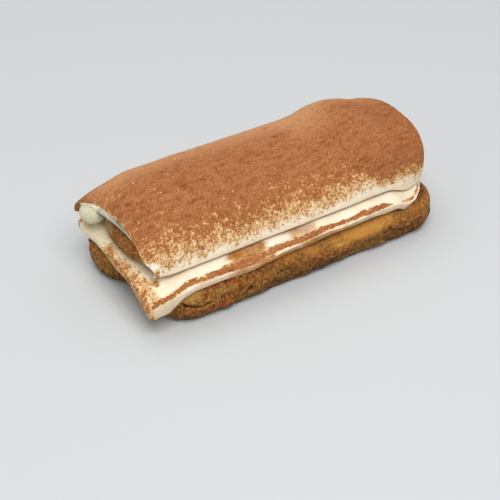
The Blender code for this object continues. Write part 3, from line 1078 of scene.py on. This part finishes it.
def broad_shape(look):
    """The soaked biscuit, of which the open end shows the rounded tip."""
    shape = loaf_shape(BROAD, around=150, along=330, upper_share=0.65)
    hollow = shape.verts.layers.float.new("hollow")

    def relief(vert):
        point = vert.co
        shown = smooth(-30 * MM, -46 * MM, point.x)
        pore = max(pores(point, 2.6), pores(point, 1.3, seed=2) * 0.7)
        lumps = 0.3 * rough(point, 4) + 0.2 * rough(point, 1.5)
        # hollow darkens pores and low places by their depth, as painted shade.
        vert[hollow] = min(1.0, pore + 0.6 * smooth(0, -0.6, rough(point, 1.5)))
        height = (0.5 * lumps * MM - look.pore * 0.8 * pore) * shown
        return height * smooth(BROAD.foot, BROAD.foot + 1 * MM, point.z)

    push_out(shape, relief)
    return shape


def spread(share, closeness):
    """Moves a share from -1 to 1 so that both ends get more of the points."""
    return share + closeness * sin(pi * share) / pi


# The cover where no cocoa lies at all.
NO_COCOA = -1.8
# Cocoa on the slab, in millimetres: where its stripe fades along X, the X of its cut edge and of
# its corner with the ramps in Y over which their cocoa ends, the place of a blob in X and Y, and
# the Y from which the torn tip is dusted.
FADED_STRIPE_X = (32, 36)
CUT_EDGE_X = -59.6
CUT_EDGE_Y = (5, 13)
CORNER_X = -56.2
CORNER_Y = (-17, -12)
LEDGE_BLOB = (-53.9, -18.6)
TORN_TIP_Y = 22.5
# Coffee on the slab, as ramps in millimetres: the wide and the faint stain and the front edge,
# whose tan is partly coffee and partly painted shade, along X, and the stained ledge along Y.
WIDE_STAIN_X = ((-30, -26.5), (-12.5, -16))
FAINT_STAIN_X = ((-8, -3), (7, 1))
FRONT_STAIN_AND_SHADE_X = ((-38, -20), (46, 6))
STAINED_LEDGE_Y = (-19, -20.5)
# Stretches that draw a pattern's lumps out along the knife's way, or squeeze them in height.
KNIFE_WAY = (9, 1, 1)
SQUEEZED = (1, 1, 0.2)
# The cuts of the slab's block along X, Y and Z, and how much closer they lie at its ends.
SLAB_CUTS = (279, 119, 9)
END_CLOSENESS = 0.35
SIDE_CLOSENESS = 0.6
# Ramps of the shares from -1 to 1 in the block: at its rim, its sides, an outer face and its top.
RIM = (0.985, 1)
SIDE = (0.97, 0.995)
OUTER_FACE = (0.985, 0.998)
TOP = (0.5, 0.95)
RIM_ROUNDING = 0.35 * MM
# How closely the bulge of its sides keeps to them.
BULGE_EXPONENT = 12


def stripe_cover(point):
    """Cocoa along the front edge of the slab's ledge, with a ragged inner border."""
    x, y = point.x / MM, point.y / MM
    edge = (slab_front_edge(point.x) + slab_edge_wave(point.x)) / MM
    inside = y - edge - between(STRIPE_SET_BACK, x)
    ragged = 0.5 * rough(point, 2.6, SQUEEZED) + 0.8 * rough(point, 0.9, SQUEEZED)
    width = between(STRIPE_WIDTHS, x) * (1 + 0.5 * ragged)
    inner = smooth(width + 0.8, width - 0.6, inside)
    outer = smooth(-0.6, 0.3, inside + 0.3 * ragged)
    fade = 1 - 0.15 * smooth(*FADED_STRIPE_X, x)
    return 2.6 * inner * outer * fade + NO_COCOA


def end_cover(point):
    """Cocoa on the slab's cut end, dense at the edge and thinning inward."""
    x, y = point.x / MM, point.y / MM
    inward = x - CUT_EDGE_X
    ragged = max(0.0, inward + 1.2 * rough(point, 4))
    strip = 0.15 - 0.24 * ragged - 2.2 * smooth(*CUT_EDGE_Y, y)
    corner = -0.05 - 0.45 * max(0.0, x - CORNER_X) - 0.9 * smooth(*CORNER_Y, y)
    under_lip = 0.9 - 0.8 * distance(x, y, LEDGE_BLOB)
    torn_tip = -0.2 - 0.7 * max(0.0, inward) - 0.9 * max(0.0, TORN_TIP_Y - y)
    return max(NO_COCOA, strip, corner, under_lip, torn_tip)


def slab_stain(point):
    """Where coffee has soaked the ledge: one wide patch and a fainter one."""
    wander = 2.2 * rough(point, 3, SQUEEZED, seed=3) + 0.8 * rough(point, 1, seed=3)
    x = point.x / MM + wander
    return max(band(*WIDE_STAIN_X, x), 0.6 * band(*FAINT_STAIN_X, x))


def block_shape(cuts):
    """A block from -1 to 1 along each axis, cut that many times along X, Y and Z."""
    shape = bmesh.new()
    bmesh.ops.create_cube(shape, size=2)
    for axis, count in enumerate(cuts):
        along = [
            edge
            for edge in shape.edges
            if abs(edge.verts[0].co[axis] - edge.verts[1].co[axis]) > 0.5
        ]
        bmesh.ops.subdivide_edges(shape, edges=along, cuts=count, use_grid_fill=True)
    return shape


def slab_shape(look, cocoa):
    """The slab, bent from a block, with its relief and where cocoa and coffee lie on it.

    Its front face's tan is partly coffee and partly painted shade.
    """
    shape = block_shape(SLAB_CUTS)
    cover = shape.verts.layers.float.new("cover")
    stain = shape.verts.layers.float.new("stain")
    for vert in shape.verts:
        across, deep, level = vert.co
        across, deep = spread(across, END_CLOSENESS), spread(deep, SIDE_CLOSENESS)
        x, y = slab_plan(across, deep)
        low, high = slab_foot(x, y), slab_top(x, y)
        bulge = SLAB_SIDE_BULGE * (1 - level * level)
        y += bulge * signed_power(deep, BULGE_EXPONENT)
        x += bulge * signed_power(across, BULGE_EXPONENT)
        vert.co = Vector((x, y, low + (high - low) * (level + 1) / 2))
        outward = max(abs(across), abs(deep))
        on_top = smooth(*TOP, level)
        at_end = smooth(*OUTER_FACE, -across)
        on_stripe = stripe_cover(vert.co) + 2 * (on_top - 1)
        amount = max(on_stripe, end_cover(vert.co) + 2 * (max(on_top, at_end) - 1))
        vert[cover] = amount
        on_ledge = slab_stain(vert.co) * on_top * smooth(*STAINED_LEDGE_Y, y / MM)
        # The front face's tan is partly coffee soaked in from below and partly painted shade.
        at_front = smooth(*OUTER_FACE, -deep) * smooth(1.2, 0.2, level)
        front_stain_and_shade = 0.3 + 0.7 * band(*FRONT_STAIN_AND_SHADE_X, x / MM)
        vert[stain] = max(on_ledge, 0.9 * at_front * front_stain_and_shade)
        wave = look.wave * rough(vert.co, 11) * 0.6
        smear = look.smear * rough(vert.co, 1.3, KNIFE_WAY, seed=2)
        grain = cocoa.grain * (1.2 * rough(vert.co, 0.8) + 0.8) * smooth(0, 0.8, amount)
        # The top's rim is rounded off a little, and the bottom keeps clear of the biscuits.
        round_off = RIM_ROUNDING * smooth(*RIM, outward) * on_top
        vert.co.z += (wave + smear + grain) * smooth(-0.6, 1, level) - round_off
        torn = 0.28 * rough(vert.co, 2.2, (1, 1, 2)) + 0.16 * rough(vert.co, 0.9)
        torn *= MM * smooth(*SIDE, outward) * smooth(1.1, 0.6, abs(level))
        vert.co.y += torn * copysign(smooth(0.9, 1, abs(deep)), deep)
        vert.co.x += torn * copysign(smooth(0.9, 1, abs(across)), across)
    bmesh.ops.recalc_face_normals(shape, faces=shape.faces)
    return shape


def fold_shape():
    """The rounded fold of cream in the open end, as a ball with unlike radii."""
    fold = bmesh.new()
    placed = Matrix.Translation(FOLD_CENTRE) @ Matrix.Diagonal(FOLD_RADII).to_4x4()
    bmesh.ops.create_uvsphere(fold, u_segments=96, v_segments=64, radius=1, matrix=placed)
    return fold


def bed_shape():
    """The room that the upper biscuit takes up in the blanket, open downward."""
    bed = loaf_shape(BROAD, around=64, along=120)
    push_out(bed, lambda vert: BED_ROOM)
    for vert in bed.verts:
        if vert.co.z < BROAD.foot:
            vert.co.z = HOLLOW.foot
    return bed


def combine(shape, steps):
    """The mesh that is left of the shape after each step's shape is joined or taken out."""
    bmesh.ops.recalc_face_normals(shape, faces=shape.faces)
    thing = object_from(shape, "blanket")
    cutters = []
    for name, operation, cutter_shape in steps:
        bmesh.ops.recalc_face_normals(cutter_shape, faces=cutter_shape.faces)
        cutter = object_from(cutter_shape, name)
        cutters.append(cutter)
        boolean = thing.modifiers.new(name, "BOOLEAN")
        boolean.operation = operation
        boolean.solver = "MANIFOLD"
        boolean.object = cutter
    graph = bpy.context.evaluated_depsgraph_get()
    mesh = bpy.data.meshes.new_from_object(thing.evaluated_get(graph))
    for extra in (thing, *cutters):
        old = extra.data
        bpy.data.objects.remove(extra)
        bpy.data.meshes.remove(old)
    return mesh


# Where the blanket's dusting changes, as ramps in millimetres.
THIN_LIP_Z = (22.5, 20.5)
BARE_LIP_Z = (20.4, 19.2)
BARE_LIP_X = (47, 43)
CORNER_BARE_X = (-51.6, -52.8)
CORNER_BARE_Y = (-15, -17)
CORNER_BARE_Z = (24.6, 22.4)
TIP_COCOA_X = (-50, -56)
TIP_COCOA_Y = (12, 16)
# A blob of cocoa on the blanket's corner, in X and Z, and how thick the cocoa gets at most.
CORNER_BLOB = (-53.2, 19.9)
FULL_COCOA = 1.2
# On the cut face cocoa lies from the first ramp in Y on, and least between the other two.
DUSTED_CUT_Y = (12, 14)
CLEAN_CUT_Y = ((0, 5), (15, 12))
# The tip beyond the fold is dusted on its inner side too, and the cut face is so thick.
DUSTED_TIP_X = (-55, -57)
DUSTED_TIP_Y = (18, 19.5)
CUT_FACE_DEPTH = 0.3 * MM
# How far from the outer side a point may be to count as on it, as a ramp.
OUTER_GAP = (0.25 * MM, 0.05 * MM)
STREAK_HEIGHT = 0.16 * MM
CREASE_DEPTH = 0.16 * MM
# The share of the relief that the inner side and the fold have.
INNER_RELIEF = 0.25


def blanket_cover(point):
    """How much cocoa lies on the blanket's outer side: bare at the lip, all over on top."""
    x, y, z = point.x / MM, point.y / MM, point.z / MM
    above = z - between(DUST_HALF, x) + 0.9 * rough(point, 7, (1, 1, 2), seed=5)
    cover = 0.6 * above / between(DUST_REACH, x)
    cover -= 0.15 * smooth(*THIN_LIP_Z, z) + smooth(*BARE_LIP_Z, z) * smooth(*BARE_LIP_X, x)
    wander = x + 1.2 * rough(point, 2, seed=9)
    at_corner = smooth(*CORNER_BARE_X, wander) * smooth(*CORNER_BARE_Y, y)
    cover -= 0.8 * at_corner * smooth(*CORNER_BARE_Z, z)
    cover += 1.3 * smooth(*TIP_COCOA_Y, y) * smooth(*TIP_COCOA_X, x)
    blob = 1.1 - 0.8 * distance(wander, z, CORNER_BLOB)
    blob = blob * at_corner + NO_COCOA * (1 - at_corner)
    return min(FULL_COCOA, max(NO_COCOA, cover, blob))


def blanket_shape(look, cocoa):
    """The blanket: a loaf cut off at its open end, draped on the slab and hollowed out."""
    shape = loaf_shape(BLANKET, around=250, along=380, upper_share=0.86)
    everything = shape.verts[:] + shape.edges[:] + shape.faces[:]
    cut = bmesh.ops.bisect_plane(
        shape, geom=everything, plane_co=(OPEN_END, 0, 0), plane_no=(1, 0, 0), clear_inner=True
    )
    rim = [item for item in cut["geom_cut"] if isinstance(item, bmesh.types.BMEdge)]
    for vert in shape.verts:
        x, y, z = vert.co
        if z < BLANKET.girth:
            foot = slab_top(x, y) + CLEARANCE + lip_lift(x, y)
            share = (z - BLANKET.foot) / (BLANKET.girth - BLANKET.foot)
            girth = BLANKET.girth - lip_sag(x, y, BLANKET.girth)
            vert.co.z = foot + share * (girth - foot)
        else:
            vert.co.z -= lip_sag(x, y, z)
        vert.co.x += open_end_shift(x, y, vert.co.z)
    outside = BVHTree.FromBMesh(shape)
    bmesh.ops.edgeloop_fill(shape, edges=rim)
    steps = (
        ("hollow", "DIFFERENCE", loaf_shape(HOLLOW, around=160, along=120)),
        ("fold", "UNION", fold_shape()),
        ("bed", "DIFFERENCE", bed_shape()),
    )
    mesh = combine(shape, steps)
    shape = bmesh.new()
    shape.from_mesh(mesh)
    bpy.data.meshes.remove(mesh)
    bmesh.ops.triangulate(shape, faces=[face for face in shape.faces if len(face.verts) > 4])
    dress_blanket(shape, outside, look, cocoa)
    return shape


def dress_blanket(shape, outside, look, cocoa):
    """Gives the blanket its relief and marks where cocoa lies and where it faces inward."""
    cover = shape.verts.layers.float.new("cover")
    inner = shape.verts.layers.float.new("inner")

    def relief(vert):
        point = vert.co
        x, y = point.x / MM, point.y / MM
        gap = outside.find_nearest(point)[3]
        outer = smooth(*OUTER_GAP, gap) * smooth(-0.85, -0.3, vert.normal.z + 0.2)
        from_fold = point - FOLD_CENTRE
        away = Vector([from_fold[axis] / FOLD_RADII[axis] for axis in range(3)]).length
        cut_face = OPEN_END + open_end_shift(OPEN_END, point.y, point.z) + CUT_FACE_DEPTH
        if point.x < cut_face:
            clean = band(*CLEAN_CUT_Y, y)
            outer = max(outer, smooth(*DUSTED_CUT_Y, y), CUT_DUSTING * (1 - 0.6 * clean))
        outer = max(outer, smooth(*DUSTED_TIP_Y, y) * smooth(*DUSTED_TIP_X, x))
        vert[cover] = blanket_cover(point) + 3 * (outer - 1)
        amount = vert[cover]
        inside = smooth(cut_face, cut_face + 2 * MM, point.x)
        vert[inner] = (1 - outer) * smooth(1.05, 1.15, away) * inside
        slow = look.wave * rough(point, 13, (1.3, 1, 1), seed=6)
        streaks = STREAK_HEIGHT * rough(point, 2.4, (1, 1, 6), seed=4) * smooth(0.9, 0.3, amount)
        seam = abs(rough(point, 6, (2.2, 1, 1), seed=7) + 0.2 * rough(point, 1.4, seed=7))
        crease = CREASE_DEPTH * (1 - smooth(0, 0.1, seam)) * smooth(-0.1, 0.3, rough(point, 18))
        grain = cocoa.grain * (rough(point, 1.1) + 0.8 * rough(point, 0.6, seed=1))
        height = slow + streaks + (grain - crease) * smooth(0.2, 0.9, amount)
        return height * (max(outer, INNER_RELIEF) if away > 1.02 else INNER_RELIEF)

    push_out(shape, relief)


# The radii of the clumps of cocoa, in millimetres, and how much flatter than a ball they are.
CLUMP_RADII = (0.1, 0.2)
CLUMP_WIDTHS = (0.7, 1)
CLUMP_HEIGHTS = (0.6, 0.9)


def clump_chance(cover):
    """The chance of a clump by the cocoa's cover: only where the dusting is thin."""
    return 0.5 * smooth(-0.5, -0.1, cover) * smooth(0.6, 0.2, cover)


def clumps_shape(pieces, total, seed):
    """Tiny lumps at points of the pieces, drawn by the chance for each point."""
    draw = Random(seed)
    candidates = []
    for piece in pieces:
        covers = piece.data.attributes["cover"].data
        for vert in piece.data.vertices:
            chance = clump_chance(covers[vert.index].value)
            if chance > 0 and draw.random() < chance:
                candidates.append((vert.co - SHIFT, vert.normal.copy()))
    draw.shuffle(candidates)
    shape = bmesh.new()
    for point, normal in candidates[:total]:
        radius = draw.uniform(*CLUMP_RADII) * MM
        turn = Matrix.Rotation(draw.uniform(0, 2 * pi), 4, normal)
        squash = Matrix.Diagonal((1, draw.uniform(*CLUMP_WIDTHS), draw.uniform(*CLUMP_HEIGHTS)))
        placed = Matrix.Translation(point + normal * radius * 0.1) @ turn @ squash.to_4x4()
        bmesh.ops.create_icosphere(shape, subdivisions=1, radius=radius, matrix=placed)
    return shape


# The stage's sizes and places are in metres.
FLOOR_HALF_WIDTH = 3
KEY_PLACE = (-0.05, 0.3, 0.75)
KEY_SIZE = 0.5
KEY_COLOUR = (1, 0.985, 0.96)
FRONT_PLACE = (-0.09, -0.42, 0.86)
FRONT_SIZE = 0.6
FRONT_COLOUR = (1, 1, 1)
ROOM_COLOUR = (0.96, 0.98, 1, 1)
# The photograph's camera: its place, its axes and its angle of view.
CAMERA_PLACE = Vector((-0.1829473, -0.30327787, 0.28226982))
CAMERA_RIGHT = Vector((0.85881606, -0.51199566, -0.01718798))
CAMERA_UP = Vector((0.33479332, 0.53555131, 0.77530524))
VIEW_ANGLE = radians(22)


def make_floor(look):
    shape = bmesh.new()
    bmesh.ops.create_grid(shape, x_segments=1, y_segments=1, size=FLOOR_HALF_WIDTH)
    floor = object_from(shape, "floor")
    material = bpy.data.materials.new("pale floor")
    material.use_nodes = True
    surface = material.node_tree.nodes["Principled BSDF"]
    surface.inputs["Base Color"].default_value = (*look.floor, 1)
    surface.inputs["Roughness"].default_value = 0.6
    floor.data.materials.append(material)


def area_light(name, place, size, power, colour):
    """A square light that faces the portion."""
    light = bpy.data.lights.new(name, "AREA")
    light.size = size
    light.energy = power
    light.color = colour
    lamp = bpy.data.objects.new(name, light)
    lamp.location = place
    lamp.rotation_euler = (-Vector(place)).to_track_quat("-Z", "Y").to_euler()
    bpy.context.scene.collection.objects.link(lamp)


def make_lights(look):
    area_light("key light", KEY_PLACE, KEY_SIZE, look.key, KEY_COLOUR)
    area_light("front light", FRONT_PLACE, FRONT_SIZE, look.front, FRONT_COLOUR)
    world = bpy.data.worlds.new("room")
    world.use_nodes = True
    background = world.node_tree.nodes["Background"]
    background.inputs["Color"].default_value = ROOM_COLOUR
    background.inputs["Strength"].default_value = look.room
    bpy.context.scene.world = world
    bpy.context.scene.view_settings.view_transform = "Standard"


def make_camera():
    data = bpy.data.cameras.new("camera")
    data.sensor_width = 36
    data.lens = data.sensor_width / 2 / tan(VIEW_ANGLE / 2)
    data.clip_start = 0.01
    camera = bpy.data.objects.new("camera", data)
    axes = (CAMERA_RIGHT, CAMERA_UP, CAMERA_RIGHT.cross(CAMERA_UP))
    camera.matrix_world = Matrix.Translation(CAMERA_PLACE + SHIFT) @ (
        Matrix(axes).transposed().to_4x4()
    )
    bpy.context.scene.collection.objects.link(camera)
    bpy.context.scene.camera = camera


class TIRAMISU_OT_finger_biscuits(bpy.types.Operator):
    """Makes the two finger biscuits of the lower layer"""

    bl_idname = "tiramisu.finger_biscuits"
    bl_label = "Finger Biscuits"

    def execute(self, context):
        look = context.scene.tiramisu_biscuit
        crust = crust_finish(look)
        fingers = (
            ("biscuit_lower_front", FINGER_FRONT, 1),
            ("biscuit_lower_back", FINGER_BACK, 2),
        )
        for node, loaf, seed in fingers:
            settle(
                finger_shape(loaf, look, seed),
                "crust_" + node,
                finish=crust,
                replaced=[node],
            )
        return {"FINISHED"}


class TIRAMISU_OT_upper_biscuit(bpy.types.Operator):
    """Makes the broad, soaked biscuit under the blanket"""

    bl_idname = "tiramisu.upper_biscuit"
    bl_label = "Upper Biscuit"

    def execute(self, context):
        look = context.scene.tiramisu_biscuit
        settle(
            broad_shape(look),
            "soaked_biscuit",
            finish=soaked_finish(look),
            replaced=["biscuit_upper"],
        )
        return {"FINISHED"}


class TIRAMISU_OT_cream_slab(bpy.types.Operator):
    """Makes the slab of cream with its dusted ledge"""

    bl_idname = "tiramisu.cream_slab"
    bl_label = "Cream Slab"

    def execute(self, context):
        cream, cocoa = context.scene.tiramisu_cream, context.scene.tiramisu_cocoa
        settle(
            slab_shape(cream, cocoa),
            "cream_ledge",
            finish=slab_finish(cream, cocoa),
            replaced=["cream_middle"],
        )
        return {"FINISHED"}


class TIRAMISU_OT_cream_blanket(bpy.types.Operator):
    """Makes the draped blanket of cream under its cocoa"""

    bl_idname = "tiramisu.cream_blanket"
    bl_label = "Cream Blanket"

    def execute(self, context):
        cream, cocoa = context.scene.tiramisu_cream, context.scene.tiramisu_cocoa
        settle(
            blanket_shape(cream, cocoa),
            "cream_blanket",
            finish=blanket_finish(cream, cocoa),
            replaced=["cream_top"],
        )
        return {"FINISHED"}


class TIRAMISU_OT_cocoa_clumps(bpy.types.Operator):
    """Scatters tiny clumps of cocoa where the dusting is thin"""

    bl_idname = "tiramisu.cocoa_clumps"
    bl_label = "Cocoa Clumps"

    def execute(self, context):
        cocoa = context.scene.tiramisu_cocoa
        pieces = [bpy.data.objects[name] for name in ("cream_blanket", "cream_ledge")]
        settle(
            clumps_shape(pieces, cocoa.clumps, seed=4),
            "cocoa_clumps",
            finish=clump_finish(cocoa),
        )
        return {"FINISHED"}


class TIRAMISU_OT_stage(bpy.types.Operator):
    """Makes the floor, the lights and the camera"""

    bl_idname = "tiramisu.stage"
    bl_label = "Stage"

    def execute(self, context):
        look = context.scene.tiramisu_stage
        make_floor(look)
        make_lights(look)
        make_camera()
        return {"FINISHED"}


OPERATORS = (
    TIRAMISU_OT_finger_biscuits,
    TIRAMISU_OT_upper_biscuit,
    TIRAMISU_OT_cream_slab,
    TIRAMISU_OT_cream_blanket,
    TIRAMISU_OT_cocoa_clumps,
    TIRAMISU_OT_stage,
)
LOOKS = (
    ("tiramisu_biscuit", BiscuitLook),
    ("tiramisu_cream", CreamLook),
    ("tiramisu_cocoa", CocoaLook),
    ("tiramisu_stage", StageLook),
)


class TIRAMISU_PT_portion(bpy.types.Panel):
    """Lists the portion's looks and the steps that make it"""

    bl_label = "Tiramisu Portion"
    bl_idname = "TIRAMISU_PT_portion"
    bl_space_type = "VIEW_3D"
    bl_region_type = "UI"
    bl_category = "Tiramisu"

    def draw(self, context):
        for name, look in LOOKS:
            box = self.layout.box()
            for field in look.__annotations__:
                box.prop(getattr(context.scene, name), field)
        for operator in OPERATORS:
            self.layout.operator(operator.bl_idname)


def register():
    for name, look in LOOKS:
        bpy.utils.register_class(look)
        setattr(bpy.types.Scene, name, PointerProperty(type=look))
    for kind in (*OPERATORS, TIRAMISU_PT_portion):
        bpy.utils.register_class(kind)


def unregister():
    for kind in (TIRAMISU_PT_portion, *reversed(OPERATORS)):
        bpy.utils.unregister_class(kind)
    for name, look in reversed(LOOKS):
        delattr(bpy.types.Scene, name)
        bpy.utils.unregister_class(look)


def main():
    register()
    bpy.ops.tiramisu.finger_biscuits()
    bpy.ops.tiramisu.upper_biscuit()
    bpy.ops.tiramisu.cream_slab()
    bpy.ops.tiramisu.cream_blanket()
    bpy.ops.tiramisu.cocoa_clumps()
    bpy.ops.tiramisu.stage()


if __name__ == "__main__":
    main()
